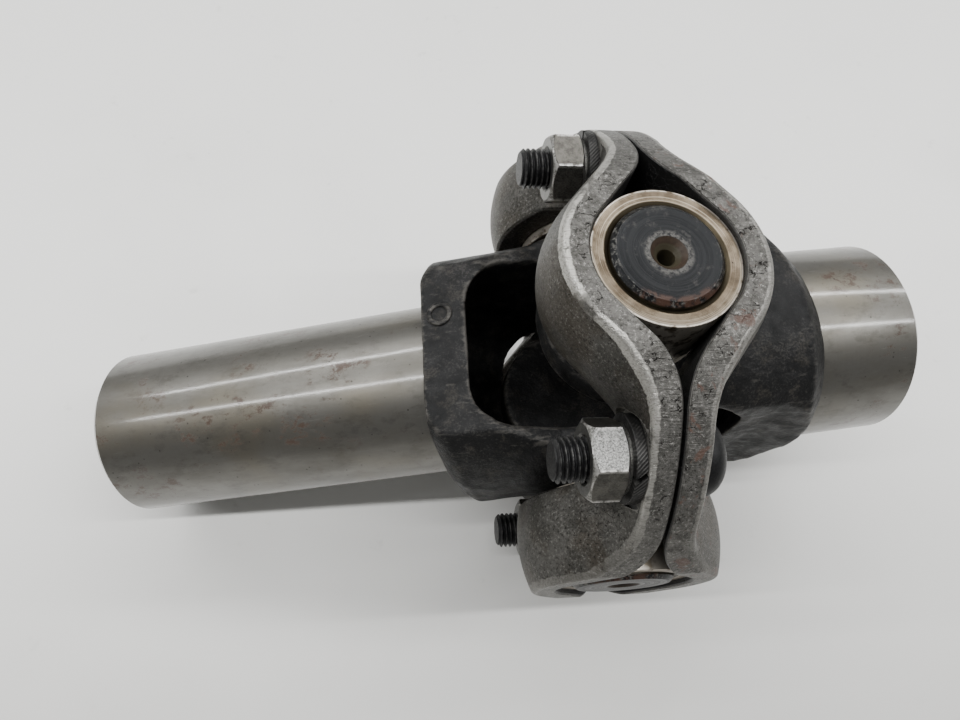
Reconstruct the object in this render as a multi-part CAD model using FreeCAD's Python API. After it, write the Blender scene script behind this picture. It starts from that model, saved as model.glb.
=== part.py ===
import FreeCAD, Part
import math
import os

from FreeCAD import Vector

# A split-ring universal joint. Two forged yokes, each with a turned shaft and two trunnions, swing
# in four bronze bushes. The bushes are clamped between two forged ring halves, which are held
# together by four bolts, spring washers and nuts.
#
# The origin is the centre of the joint, where the two trunnion axes cross. Sub-parts are drawn in
# the ring's own axes: X along the axis of the ring towards the short shaft, Y along the trunnions
# of the long-shaft yoke and Z along those of the short-shaft yoke. At the end everything is leaned
# about Y, into the pose in which the joint rests on a level surface, propped on its long shaft.

# Driving dimensions, in millimetres and degrees. Distances are from the centre of the joint.
LONG_SHAFT_R = 19.05
LONG_SHAFT_END = 112.2
LONG_BEND = 20.5             # angle of the long-shaft yoke about Y, at rest
SHORT_SHAFT_R = 21.4
SHORT_SHAFT_END = 66.0
SHORT_BEND = 6.0             # angle of the short-shaft yoke about Z, at rest
SHAFT_CHAMFER = 1.5

ARM_SPHERE_R = 30.0          # the arms' outside, round the centre of the joint
ARM_FACE = 28.0              # flat face that a trunnion stands on
ARM_HALF_WIDTH = 17.0        # half width of an arm and radius of its end
ARM_WIDENS_AT = 7.0
YOKE_R = 28.5                # outside of the hub, round the shaft
YOKE_HALF_WIDTH = 20.5       # flat sides of the hub
YOKE_WIDE_AT = 20.0
YOKE_SIDE_END = 30.0
LONG_HUB_END = 33.5
LONG_SHOULDER = (3.5, 3.5)   # bevel of the hub's rear edge, along and across the shaft
LONG_REAR_HALF_WIDTH = 20.8
SHORT_HUB_END = 41.5
SHORT_SHOULDER = (6.0, 5.7)
SHORT_REAR_HALF_WIDTH = 24.0
FORK_DRUM_R = 31.0           # bottom of the fork, round the trunnion axis
FORK_CORNER_R = 9.0          # corners of the fork, seen across both axes
FORK_HALF_GAP = 18.6

TRUNNION_R = 9.95
TRUNNION_END = 47.4
TRUNNION_CHAMFER = 0.8
CENTRE_HOLE_R = 3.3
CENTRE_DRILL_R = 1.6
CENTRE_HOLE_DEPTH = 7.0
BUSH_BORE_R = 10.0
BUSH_R = 13.35
BUSH_START = 28.4
BUSH_END = 46.4
BUSH_CHAMFER = 0.35

RING_R = 50.1
RING_BORE_R = 34.0
POCKET_START = 30.3          # flat inner face of a pocket
POCKET_END = 47.6            # flat outer face of a pocket
POCKET_R = 19.2              # outside of the wall round a bush
LIP_CHAMFER = 1.1            # round the outer face of a pocket
LAND_THICKNESS = 5.0         # flat part round each bolt
HALF_GAP = 0.3               # half of the gap between the two ring halves
FLANK_SLOPE = 40.0           # slope between the pocket and the land
INNER_BEND_R = 16.0
OUTER_BEND_R = 9.0

BOLT_CIRCLE_R = 42.3
BOLT_R = 3.95
BOLT_HOLE_R = 4.25
BOLT_TIP = 19.5              # measured from the ring's middle plane
THREAD_PITCH = 1.058
THREAD_DEPTH = 0.5
THREAD_TURNS = 11
THREAD_LAND = 0.15           # width left on each crest, as a share of the pitch
HEAD_R = 7.0
HEAD_HEIGHT = 4.6
HEAD_RIM = 1.0
HEAD_TOP_R = 3.3
SEAT_R = 8.6                 # spot face round each bolt
WASHER_R = 7.75
WASHER_BORE_R = 4.2
WASHER_THICKNESS = 2.0
WASHER_SPLIT = 1.1
WASHER_SLANT = 35.0
WASHER_SPLIT_AT = 131.0      # angle of the split round the bolt, from Y towards Z
NUT_ACROSS_FLATS = 12.7
NUT_BORE_R = 4.0
NUT_HEIGHT = 6.75
NUT_FACE_R = 6.1
NUT_FACE_HEIGHT = 0.4
NUT_CHAMFER_SLOPE = 30.0
NUT_CORNER_AT = 2.0          # angle of a corner of the nut, from Y towards Z

# Derived values.
LAND = HALF_GAP + LAND_THICKNESS
LIP_R = POCKET_R - LIP_CHAMFER
THREAD_START = 0.6           # chamfer at the bolt's tip

X_AXIS = Vector(1, 0, 0)
Y_AXIS = Vector(0, 1, 0)
Z_AXIS = Vector(0, 0, 1)
CENTRE = Vector(0, 0, 0)
FAR = 150.0                  # reach of the cutting tools
SINK = 2.0                   # depth to which joined pieces enter each other


def outline(corners, place):
    """A face from (u, v) corners. A corner written as a pair of points is an arc's middle and end."""
    edges = []
    here = corners[0]
    for corner in corners[1:] + corners[:1]:
        if isinstance(corner[0], tuple):
            middle, end = corner
            edges.append(Part.Arc(place(*here), place(*middle), place(*end)).toShape())
            here = end
        else:
            edges.append(Part.makeLine(place(*here), place(*corner)))
            here = corner
    return Part.Face(Part.Wire(edges))


def turned(corners):
    """A solid turned about X from (along, radius) corners."""
    return outline(corners, lambda along, radius: Vector(along, radius, 0)).revolve(CENTRE, X_AXIS)


def about(shape, axis, angle):
    """A copy of the shape, turned by an angle in degrees about an axis through the centre."""
    copy = shape.copy()
    copy.rotate(CENTRE, axis, angle)
    return copy


def at(shape, x=0.0, y=0.0, z=0.0):
    copy = shape.copy()
    copy.translate(Vector(x, y, z))
    return copy


def joined(shapes):
    return shapes[0].fuse(shapes[1:]).removeSplitter()


def polar(radius, angle):
    """The (u, v) point at a radius and at an angle in degrees."""
    return radius * math.cos(math.radians(angle)), radius * math.sin(math.radians(angle))


# ---- yokes -------------------------------------------------------------------------------------

def trunnion():
    """A trunnion along X, with a countersunk centre hole in its end."""
    pin = turned([
        (ARM_FACE - SINK, 0.0),
        (ARM_FACE - SINK, TRUNNION_R),
        (TRUNNION_END - TRUNNION_CHAMFER, TRUNNION_R),
        (TRUNNION_END, TRUNNION_R - TRUNNION_CHAMFER),
        (TRUNNION_END, 0.0),
    ])
    countersink = CENTRE_HOLE_R - CENTRE_DRILL_R
    hole = turned([
        (TRUNNION_END + SINK, 0.0),
        (TRUNNION_END + SINK, CENTRE_HOLE_R),
        (TRUNNION_END, CENTRE_HOLE_R),
        (TRUNNION_END - countersink, CENTRE_DRILL_R),
        (TRUNNION_END - CENTRE_HOLE_DEPTH, CENTRE_DRILL_R),
        (TRUNNION_END - CENTRE_HOLE_DEPTH - CENTRE_DRILL_R, 0.0),
    ])
    return pin.cut(hole)


def shaft(radius, start, end):
    return turned([
        (start - SINK, 0.0),
        (start - SINK, radius),
        (end - SHAFT_CHAMFER, radius),
        (end, radius - SHAFT_CHAMFER),
        (end, 0.0),
    ])


def yoke_blank(hub_end, shoulder):
    """The turned envelope of the forging: a sphere over the arms, then a hub with a bevelled rear."""
    along, across = shoulder
    meets = math.sqrt(ARM_SPHERE_R**2 - YOKE_R**2)
    return turned([
        (-ARM_SPHERE_R, 0.0),
        ((0.0, ARM_SPHERE_R), (meets, YOKE_R)),
        (hub_end - along, YOKE_R),
        (hub_end, YOKE_R - across),
        (hub_end, 0.0),
    ])


def yoke_side_view(hub_end, rear_half_width):
    """The forging's outline seen along the trunnions, as a slab between the two arm faces."""
    upper = [
        (ARM_WIDENS_AT, ARM_HALF_WIDTH),
        (YOKE_WIDE_AT, YOKE_HALF_WIDTH),
        (YOKE_SIDE_END, YOKE_HALF_WIDTH),
        (hub_end, rear_half_width),
    ]
    lower = [(x, -z) for x, z in reversed(upper)]
    arm_end = ((-ARM_HALF_WIDTH, 0.0), (0.0, ARM_HALF_WIDTH))
    corners = upper + lower + [(0.0, -ARM_HALF_WIDTH), arm_end]
    face = outline(corners, lambda x, z: Vector(x, -ARM_FACE, z))
    return face.extrude(Vector(0, 2 * ARM_FACE, 0))


def fork():
    """The space between the arms. It lets the other yoke's arms swing in every direction."""
    drum = Part.makeCylinder(FORK_DRUM_R, 2 * FORK_HALF_GAP, Vector(0, -FORK_HALF_GAP, 0), Y_AXIS)
    k = FORK_CORNER_R * (1 - math.sqrt(0.5))
    end, side, r = FORK_DRUM_R, FORK_HALF_GAP, FORK_CORNER_R
    plan = outline([
        (-end, -side),
        (end - r, -side),
        ((end - k, k - side), (end, r - side)),
        (end, side - r),
        ((end - k, side - k), (end - r, side)),
        (-end, side),
    ], lambda x, y: Vector(x, y, -FORK_DRUM_R))
    return drum.common(plan.extrude(Vector(0, 0, 2 * FORK_DRUM_R)))


def yoke(shaft_r, shaft_end, hub_end, shoulder, rear_half_width):
    """A yoke with its shaft along X and its trunnions along Y."""
    forging = yoke_blank(hub_end, shoulder).common(yoke_side_view(hub_end, rear_half_width))
    pins = [about(trunnion(), Z_AXIS, turn) for turn in (90, -90)]
    return joined([forging.cut(fork()), shaft(shaft_r, hub_end, shaft_end)] + pins)


def long_shaft_yoke():
    shape = yoke(LONG_SHAFT_R, LONG_SHAFT_END, LONG_HUB_END, LONG_SHOULDER, LONG_REAR_HALF_WIDTH)
    return about(about(shape, Z_AXIS, 180), Y_AXIS, -LONG_BEND)


def short_shaft_yoke():
    shape = yoke(SHORT_SHAFT_R, SHORT_SHAFT_END, SHORT_HUB_END, SHORT_SHOULDER,
                 SHORT_REAR_HALF_WIDTH)
    return about(about(shape, X_AXIS, 90), Z_AXIS, SHORT_BEND)


def bush():
    """A bush along X."""
    c = BUSH_CHAMFER
    return turned([
        (BUSH_START, BUSH_BORE_R + c),
        (BUSH_START, BUSH_R - c),
        (BUSH_START + c, BUSH_R),
        (BUSH_END - c, BUSH_R),
        (BUSH_END, BUSH_R - c),
        (BUSH_END, BUSH_BORE_R + c),
        (BUSH_END - c, BUSH_BORE_R),
        (BUSH_START + c, BUSH_BORE_R),
    ])


# ---- ring --------------------------------------------------------------------------------------

def flank(radius, level, bend_r):
    """The named points of one side of a pocket face, as (across, deep): an arc round the bush, a
    straight flank and a bend that ends on the land. The bend's centre is on the land's outer side
    for both faces."""
    slope = math.radians(FLANK_SLOPE)
    sin, cos = math.sin(slope), math.cos(slope)
    deep = level + bend_r
    across = (radius + bend_r - deep * cos) / sin
    half = slope / 2
    return {
        "crown": (0.0, radius),
        "arc": (radius * math.sin(half), radius * math.cos(half)),
        "arc_end": (radius * sin, radius * cos),
        "bend": (across - bend_r * sin, deep - bend_r * cos),
        "bend_middle": (across - bend_r * math.sin(half), deep - bend_r * math.cos(half)),
        "land": (across, level),
    }


def ring_quarter():
    """The pocket on +Z of the nut side's ring half, with half of the land on each side of it."""
    edges = []
    faces = (flank(BUSH_R, HALF_GAP, INNER_BEND_R), flank(POCKET_R, LAND, OUTER_BEND_R))
    for side in (1, -1):
        for points in faces:
            p = {name: Vector(-deep, side * across, 0) for name, (across, deep) in points.items()}
            edges += [
                Part.Arc(p["crown"], p["arc"], p["arc_end"]).toShape(),
                Part.makeLine(p["arc_end"], p["bend"]),
                Part.Arc(p["bend"], p["bend_middle"], p["land"]).toShape(),
                Part.makeLine(p["land"], Vector(p["land"].x, side * RING_R, 0)),
            ]
        edges.append(Part.makeLine(Vector(-HALF_GAP, side * RING_R, 0),
                                   Vector(-LAND, side * RING_R, 0)))
    strip = Part.Face(Part.Wire(Part.__sortEdges__(edges))).extrude(Vector(0, 0, POCKET_END))
    lip = [edge for edge in strip.Edges
           if edge.BoundBox.ZMin > POCKET_END - SINK and edge.BoundBox.XMax <= -LAND + 0.01]
    strip = strip.makeChamfer(LIP_CHAMFER, lip)
    corners = [(0.0, 0.0), (RING_R, RING_R), (-RING_R, RING_R)]
    wedge = outline(corners, lambda y, z: Vector(-FAR, y, z)).extrude(Vector(2 * FAR, 0, 0))
    return strip.common(wedge)


def bolt_places():
    """The (y, z) positions of the four bolts."""
    return [polar(BOLT_CIRCLE_R, turn) for turn in (45, 135, 225, 315)]


def along_x(radius, start, end, place=(0.0, 0.0)):
    return Part.makeCylinder(radius, end - start, Vector(start, *place), X_AXIS)


def ring_half():
    """The ring half on the nuts' side."""
    plate = joined([about(ring_quarter(), X_AXIS, turn) for turn in (0, 90, 180, 270)])
    plate = plate.common(along_x(RING_R, -FAR, FAR))
    square = at(Part.makeBox(2 * FAR, 2 * POCKET_START, 2 * POCKET_START),
                -FAR, -POCKET_START, -POCKET_START)
    cutters = [along_x(RING_BORE_R, -FAR, FAR).common(square)]
    for place in bolt_places():
        cutters.append(along_x(BOLT_HOLE_R, -FAR, FAR, place))
        cutters.append(along_x(SEAT_R, -FAR, -LAND, place))
    return plate.cut(cutters)


# ---- fasteners, drawn on the X axis ----------------------------------------------------------------

def bolt():
    """A round-headed bolt, its thread turned as a row of grooves."""
    root = BOLT_R - THREAD_DEPTH
    corners = [(-BOLT_TIP, 0.0), (-BOLT_TIP, root), (-BOLT_TIP + THREAD_START, BOLT_R)]
    for turn in range(THREAD_TURNS):
        start = -BOLT_TIP + THREAD_START + turn * THREAD_PITCH
        corners += [
            (start + THREAD_LAND * THREAD_PITCH, BOLT_R),
            (start + (1 + THREAD_LAND) / 2 * THREAD_PITCH, root),
            (start + THREAD_PITCH, BOLT_R),
        ]
    top = LAND + HEAD_HEIGHT
    rise = HEAD_HEIGHT - HEAD_RIM
    fall = HEAD_R - HEAD_TOP_R
    corners += [
        (LAND, BOLT_R),
        (LAND, HEAD_R),
        (LAND + HEAD_RIM, HEAD_R),
        ((top - rise * (1 - math.sqrt(0.5)), HEAD_R - fall * (1 - math.sqrt(0.5))),
         (top, HEAD_TOP_R)),
        (top, 0.0),
    ]
    return turned(corners)


def washer():
    """A spring washer that is split by a slanted slot."""
    start, end = -LAND - WASHER_THICKNESS, -LAND
    disc = along_x(WASHER_R, start, end).cut(along_x(WASHER_BORE_R, start, end))
    slot = at(Part.makeBox(4 * WASHER_THICKNESS, 2 * WASHER_R, WASHER_SPLIT),
              -2 * WASHER_THICKNESS, 0.0, -WASHER_SPLIT / 2)
    slot = at(about(slot, Y_AXIS, WASHER_SLANT), (start + end) / 2)
    return disc.cut(about(slot, X_AXIS, WASHER_SPLIT_AT))


def nut():
    """A hexagon nut with a washer face and chamfered corners."""
    start = -LAND - WASHER_THICKNESS
    end = start - NUT_HEIGHT
    corner_r = NUT_ACROSS_FLATS / 2 / math.cos(math.radians(30))
    chamfer = (corner_r - NUT_FACE_R) * math.tan(math.radians(NUT_CHAMFER_SLOPE))
    corners = [polar(corner_r, NUT_CORNER_AT + turn) for turn in range(0, 360, 60)]
    prism = outline(corners, lambda y, z: Vector(end, y, z)).extrude(Vector(start - end, 0, 0))
    envelope = turned([
        (start, NUT_BORE_R),
        (start, NUT_FACE_R),
        (start - NUT_FACE_HEIGHT, NUT_FACE_R),
        (start - NUT_FACE_HEIGHT - chamfer, corner_r),
        (end + chamfer, corner_r),
        (end, NUT_FACE_R),
        (end, NUT_BORE_R),
    ])
    return prism.common(envelope)


# ---- placing -----------------------------------------------------------------------------------

def lean():
    """The angle about Y at which the lip of the lowest pocket and the shaft's end touch a level
    surface together."""
    lip = Vector(LIP_R, 0, -POCKET_END)
    along, across = LONG_SHAFT_END - SHAFT_CHAMFER, LONG_SHAFT_R
    bend = math.radians(LONG_BEND)
    tip = Vector(across * math.sin(bend) - along * math.cos(bend), 0,
                 -along * math.sin(bend) - across * math.cos(bend))
    return math.degrees(math.atan2(lip.z - tip.z, lip.x - tip.x))


def pieces():
    """Every piece by its node name, in the ring's axes."""
    result = {"long_shaft_yoke": long_shaft_yoke(), "short_shaft_yoke": short_shaft_yoke()}
    half = ring_half()
    result["ring_half_nut_side"] = half
    result["ring_half_head_side"] = half.mirror(CENTRE, X_AXIS)
    sides = {"y_plus": (Z_AXIS, 90), "y_minus": (Z_AXIS, -90),
             "z_plus": (Y_AXIS, -90), "z_minus": (Y_AXIS, 90)}
    for side, (axis, turn) in sides.items():
        result["bush_" + side] = about(bush(), axis, turn)
    for number, (y, z) in enumerate(bolt_places(), 1):
        for name, shape in (("bolt", bolt()), ("spring_washer", washer()), ("nut", nut())):
            result[name + "_" + str(number)] = at(shape, 0.0, y, z)
    return result


os.makedirs("parts", exist_ok=True)
angle = lean()
for node, shape in pieces().items():
    about(shape, Y_AXIS, angle).exportStep("parts/" + node + ".step")
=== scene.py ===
import math

import bpy
from mathutils import Matrix, Vector, noise


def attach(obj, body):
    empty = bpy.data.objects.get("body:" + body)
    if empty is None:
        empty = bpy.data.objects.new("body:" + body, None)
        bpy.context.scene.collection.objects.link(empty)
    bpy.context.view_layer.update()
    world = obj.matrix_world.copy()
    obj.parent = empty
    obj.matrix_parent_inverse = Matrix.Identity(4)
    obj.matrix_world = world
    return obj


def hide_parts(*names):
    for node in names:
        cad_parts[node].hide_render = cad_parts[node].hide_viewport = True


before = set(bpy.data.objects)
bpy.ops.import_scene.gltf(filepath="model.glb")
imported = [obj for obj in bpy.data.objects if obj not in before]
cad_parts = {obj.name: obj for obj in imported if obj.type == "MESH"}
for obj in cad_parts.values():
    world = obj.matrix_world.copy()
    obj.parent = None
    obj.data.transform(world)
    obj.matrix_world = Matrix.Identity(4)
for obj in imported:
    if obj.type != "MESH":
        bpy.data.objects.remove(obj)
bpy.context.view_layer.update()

# The looks of a split-ring universal joint. Every piece is drawn in millimetres in its own axes
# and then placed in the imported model's frame, whose origin is the centre of the joint.

# ---- dimensions, in millimetres and degrees ----------------------------------------------------

# Those that the CAD source has too are the same there, apart from LONG_SHOULDER, OUTER_BEND_R,
# THREAD_DEPTH, HEAD_RIM and HEAD_TOP_R.

LEAN = 4.476                 # of the whole joint about Y, resting on a level surface
LONG_SHAFT_R, LONG_SHAFT_END, LONG_BEND = 19.05, 112.2, 20.5
SHORT_SHAFT_R, SHORT_SHAFT_END, SHORT_BEND = 21.4, 66.0, 6.0
SHAFT_CHAMFER, SHAFT_OVERLAP = 1.5, 2
ARM_SPHERE_R, ARM_FACE, ARM_HALF_WIDTH, ARM_WIDENS_AT = 30.0, 28.0, 17.0, 7.0
YOKE_R, YOKE_HALF_WIDTH, YOKE_WIDE_AT, YOKE_SIDE_END = 28.5, 20.5, 20.0, 30.0
LONG_HUB_END, LONG_SHOULDER, LONG_REAR_HALF_WIDTH = 33.5, (2.0, 2.0), 20.8
SHORT_HUB_END, SHORT_SHOULDER, SHORT_REAR_HALF_WIDTH = 41.5, (6.0, 5.7), 24.0
FORK_DRUM_R, FORK_CORNER_R, FORK_HALF_GAP = 31.0, 9.0, 18.6
RAISED_RING_AT, RAISED_RING_R, RAISED_RING_BAR_R = (29.3, -8.3), 2.2, 0.6
TRUNNION_R, TRUNNION_END, TRUNNION_CHAMFER, TRUNNION_OVERLAP = 9.95, 47.4, 0.8, 3
CENTRE_HOLE_R, CENTRE_DRILL_R, CENTRE_HOLE_DEPTH = 3.3, 1.6, 7.0
BUSH_BORE_R, BUSH_R, BUSH_START, BUSH_END = 10.0, 13.35, 28.4, 46.4
BUSH_MOUTH_DEPTH, BUSH_MOUTH_WIDTH = 0.6, 0.9
RING_R, RING_BORE_R, POCKET_START, POCKET_END = 50.1, 34.0, 30.3, 47.6
BARREL_R, BARREL_AT, BARREL_OUTER_CURVE, BARREL_INNER_GAIN = 20.1, 37.0, 0.018, 1.2
HALF_GAP, LAND = 0.3, 5.3
FLANK_SLOPE, INNER_BEND_R, OUTER_BEND_R = 40.0, 16.0, 10.0
RING_EDGE, RING_CORNER_R = 0.45, 0.7
BOLT_CIRCLE_R, BOLT_R, BOLT_HOLE_R, BOLT_TIP = 42.3, 3.95, 4.25, 19.5
BOLT_TURNS = (45, 135, 225, 315)
THREAD_PITCH, THREAD_DEPTH, THREAD_LENGTH, THREAD_RUNOUT, TIP_CHAMFER = 1.058, 0.62, 8.2, 0.5, 0.75
HEAD_R, HEAD_HEIGHT, HEAD_RIM, HEAD_TOP_R, HEAD_EDGE = 7.0, 4.6, 0.9, 2.6, 0.15
SEAT_R = 8.6
WASHER_R, WASHER_BORE_R, WASHER_THICKNESS, WASHER_EDGE = 7.75, 4.2, 2.0, 0.22
WASHER_SPLIT_AT, WASHER_HALF_SPLIT, WASHER_END_LEAN, WASHER_TURN_BETWEEN = 131.0, 3.5, 0.75, 83
NUT_ACROSS_FLATS, NUT_BORE_R, NUT_HEIGHT, NUT_CORNER_AT = 12.7, 4.0, 6.75, 2.0
NUT_FACE_R, NUT_FACE_HEIGHT, NUT_CHAMFER_SLOPE = 6.1, 0.4, 30
NUT_EDGE, NUT_BORE_CHAMFER = 0.18, 0.5

MM = 0.001


def spin(axis, degrees):
    """The rotation about one of the axes "X", "Y" and "Z"."""
    return Matrix.Rotation(math.radians(degrees), 4, axis)


RING_POSE = spin("Y", LEAN)
LONG_POSE = RING_POSE @ spin("Y", -LONG_BEND) @ spin("Z", 180)
SHORT_POSE = RING_POSE @ spin("Z", SHORT_BEND) @ spin("X", 90)


# ---- mesh building -----------------------------------------------------------------------------

def polar(radius, degrees):
    return radius * math.cos(math.radians(degrees)), radius * math.sin(math.radians(degrees))


def make_mesh(name, points, faces, crisp=30.0):
    """A smooth mesh whose edges stay crisp where they turn by more than crisp degrees."""
    mesh = bpy.data.meshes.new(name)
    mesh.from_pydata([[c * MM for c in point] for point in points], [], faces)
    mesh.update()
    mesh.shade_smooth()
    mesh.set_sharp_from_angle(angle=math.radians(crisp))
    return mesh


def make_piece(name, mesh, pose, body, node, material):
    """Adds a piece that moves with a body and stands for a CAD node."""
    piece = bpy.data.objects.new(name, mesh)
    bpy.context.scene.collection.objects.link(piece)
    piece.matrix_world = pose
    mesh.materials.append(material)
    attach(piece, body)
    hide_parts(node)
    return piece


def rounded(corners, radius, steps=4):
    """The corners of an open or closed outline, each rounded off, as far as its sides allow."""
    result = []
    count = len(corners)
    for i in range(count):
        here = Vector(corners[i])
        back = Vector(corners[i - 1]) - here if i else None
        ahead = Vector(corners[i + 1]) - here if i < count - 1 else None
        if back is None or ahead is None or min(back.length, ahead.length) < 1e-6:
            result.append(tuple(here))
            continue
        half = back.angle(ahead) / 2
        reach = min(radius / math.tan(half), 0.48 * back.length, 0.48 * ahead.length)
        start = here + back.normalized() * reach
        end = here + ahead.normalized() * reach
        for k in range(steps + 1):
            t = k / steps
            result.append(tuple((1 - t)**2 * start + 2 * t * (1 - t) * here + t**2 * end))
    return result


def turned_mesh(name, profile, steps=128, crisp=30.0):
    """A mesh turned about X from a profile of (along, radius) points that is closed, or starts and
    ends on X."""
    points, rings, faces = [], [], []
    for along, radius in profile:
        if radius < 1e-9:
            rings.append([len(points)] * steps)
            points.append((along, 0.0, 0.0))
            continue
        rings.append(list(range(len(points), len(points) + steps)))
        points += [(along, *polar(radius, 360 * k / steps)) for k in range(steps)]
    for a, b in zip(rings, rings[1:]):
        for k in range(steps):
            n = (k + 1) % steps
            corners = [a[k], a[n], b[n], b[k]]
            faces.append(tuple(dict.fromkeys(corners)))
    return make_mesh(name, points, faces, crisp)


def skin(loops, closed):
    """Points and faces of a tube through closed loops of equal size, itself closed or capped."""
    size = len(loops[0])
    points = [point for loop in loops for point in loop]
    faces = []
    count = len(loops)
    for i in range(count if closed else count - 1):
        a, b = i * size, (i + 1) % count * size
        faces += [(a + k, a + (k + 1) % size, b + (k + 1) % size, b + k) for k in range(size)]
    if not closed:
        faces.append(tuple(range(size - 1, -1, -1)))
        faces.append(tuple(range((count - 1) * size, count * size)))
    return points, faces


# ---- materials ---------------------------------------------------------------------------------

class Surface:
    """One material's nodes. Inputs are numbers, colours or other nodes' outputs, and positions are
    in millimetres in the piece's own axes."""

    def __init__(self, name):
        self.material = bpy.data.materials.new(name)
        self.material.use_nodes = True
        self.tree = self.material.node_tree
        self.shader = self.tree.nodes["Principled BSDF"]
        place = self.tree.nodes.new("ShaderNodeTexCoord").outputs["Object"]
        self.place = self.vector("SCALE", place, Scale=1 / MM)

    def node(self, kind, output=0, settings=(), **inputs):
        node = self.tree.nodes.new("ShaderNode" + kind)
        for key, value in dict(settings).items():
            setattr(node, key, value)
        for key, value in inputs.items():
            self.link(value, node.inputs[key])
        return node.outputs[output]

    def link(self, value, socket):
        if isinstance(value, bpy.types.NodeSocket):
            self.tree.links.new(value, socket)
        elif socket.type == "RGBA":
            socket.default_value = (*value, 1.0)
        else:
            socket.default_value = value

    def vector(self, operation, a, b=None, **inputs):
        node = self.tree.nodes.new("ShaderNodeVectorMath")
        node.operation = operation
        self.link(a, node.inputs[0])
        if b is not None:
            self.link(b, node.inputs[1])
        for key, value in inputs.items():
            self.link(value, node.inputs[key])
        return node.outputs["Value" if operation in ("LENGTH", "DISTANCE", "DOT_PRODUCT") else 0]

    def math(self, operation, a, b=0.0):
        node = self.tree.nodes.new("ShaderNodeMath")
        node.operation = operation
        self.link(a, node.inputs[0])
        self.link(b, node.inputs[1])
        return node.outputs[0]

    def plus(self, a, b):
        return self.math("ADD", a, b)

    def minus(self, a, b):
        return self.math("SUBTRACT", a, b)

    def times(self, a, b):
        return self.math("MULTIPLY", a, b)

    def noise(self, size, detail=3.0, roughness=0.55, stretch=(1, 1, 1), warp=0.0):
        """Cloudy noise from 0 to 1 whose blobs are about size millimetres across."""
        place = self.vector("DIVIDE", self.place, tuple(size * s for s in stretch))
        return self.node("TexNoise", Vector=place, Scale=1.0, Detail=detail, Roughness=roughness,
                         Distortion=warp)

    def colour_noise(self, size):
        """Three noises at once, as a vector."""
        place = self.vector("SCALE", self.place, Scale=1 / size)
        return self.node("TexNoise", output=1, Vector=place, Scale=1.0, Detail=3.0)

    def cells(self, size):
        """Distance from the nearest of many scattered points, about size millimetres apart."""
        place = self.vector("SCALE", self.place, Scale=1 / size)
        return self.node("TexVoronoi", Vector=place, Scale=1.0)

    def step(self, value, low, high, start=0.0, end=1.0):
        """value taken from low..high to start..end, and held at both ends."""
        return self.node("MapRange", settings={"interpolation_type": "SMOOTHSTEP"}, **{
            "Value": value, "From Min": low, "From Max": high, "To Min": start, "To Max": end})

    def mix(self, share, a, b):
        """Colour a where share is 0 and b where it is 1."""
        node = self.tree.nodes.new("ShaderNodeMix")
        node.data_type = "RGBA"
        self.link(share, node.inputs["Factor"])
        self.link(a, node.inputs[6])
        self.link(b, node.inputs[7])
        return node.outputs[2]

    def mark(self, name):
        return self.node("Attribute", output="Fac", settings={"attribute_name": name})

    def axis(self, index):
        return self.node("SeparateXYZ", output=index, Vector=self.place)

    def radius(self):
        """Distance from the piece's X axis."""
        return self.vector("LENGTH", self.vector("MULTIPLY", self.place, (0.0, 1.0, 1.0)))

    def turning(self, radius, per_mm, drift, detail):
        """Noise in fine rings round the X axis: it changes along the radius, and hardly along Y."""
        place = self.node("CombineXYZ", X=self.times(radius, per_mm),
                          Y=self.times(self.axis(1), drift))
        return self.node("TexNoise", Vector=place, Scale=1.0, Detail=detail, Roughness=0.7)

    def bump(self, height, depth):
        """depth is the height in millimetres that 1 stands for."""
        return self.node("Bump", Height=height, Distance=depth * MM)

    def finish(self, **inputs):
        for key, value in inputs.items():
            self.link(value, self.shader.inputs[key.replace("_", " ")])
        return self.material


def turned_steel(name):
    """Turned steel under a film of oil, with turning lines, scratches, stains and rust."""
    s = Surface(name)
    lines = s.noise(1.0, 3.0, 0.6, stretch=(0.16, 40, 40))
    broad = s.noise(8.0, 5.0, 0.62, stretch=(2.2, 1, 1))
    oily = s.step(s.noise(15.0, 3.0, 0.5, stretch=(1.5, 1, 1)), 0.45, 0.7)
    patch = s.step(s.noise(11.0, 2.0, 0.5, stretch=(1.5, 1, 1)), 0.47, 0.58)
    specks = s.step(s.noise(3.6, 9.0, 0.82, stretch=(1.5, 1, 1)), 0.52, 0.59)
    rust = s.times(patch, specks)
    pits = s.times(s.step(s.cells(1.6), 0.16, 0.08), s.step(s.noise(3.0), 0.5, 0.58))
    smears = s.step(s.noise(3.2, 7.0, 0.7, stretch=(1.8, 1, 1)), 0.50, 0.66)
    scratches = s.step(s.noise(1.0, 3.0, 0.6, stretch=(7, 0.10, 0.10)), 0.68, 0.74)
    steel = s.mix(s.step(broad, 0.35, 0.68), (0.185, 0.179, 0.162), (0.135, 0.129, 0.113))
    steel = s.mix(s.times(oily, 0.7), steel, (0.165, 0.148, 0.112))
    steel = s.mix(s.times(smears, 0.45), steel, (0.085, 0.080, 0.068))
    steel = s.mix(s.times(lines, 0.3), steel, (0.11, 0.107, 0.10))
    steel = s.mix(s.times(pits, 0.7), steel, (0.030, 0.026, 0.022))
    steel = s.mix(s.times(scratches, 0.3), steel, (0.38, 0.37, 0.35))
    colour = s.mix(s.times(rust, 0.9), steel, (0.045, 0.021, 0.010))
    height = s.minus(s.times(lines, 0.5), s.plus(rust, scratches))
    return s.finish(Base_Color=colour, Metallic=s.step(rust, 0.0, 1.0, 1.0, 0.2),
                    Roughness=s.step(broad, 0.3, 0.75, 0.40, 0.50), Coat_Weight=0.65,
                    Coat_Roughness=0.13, Normal=s.bump(height, 0.008))


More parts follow.
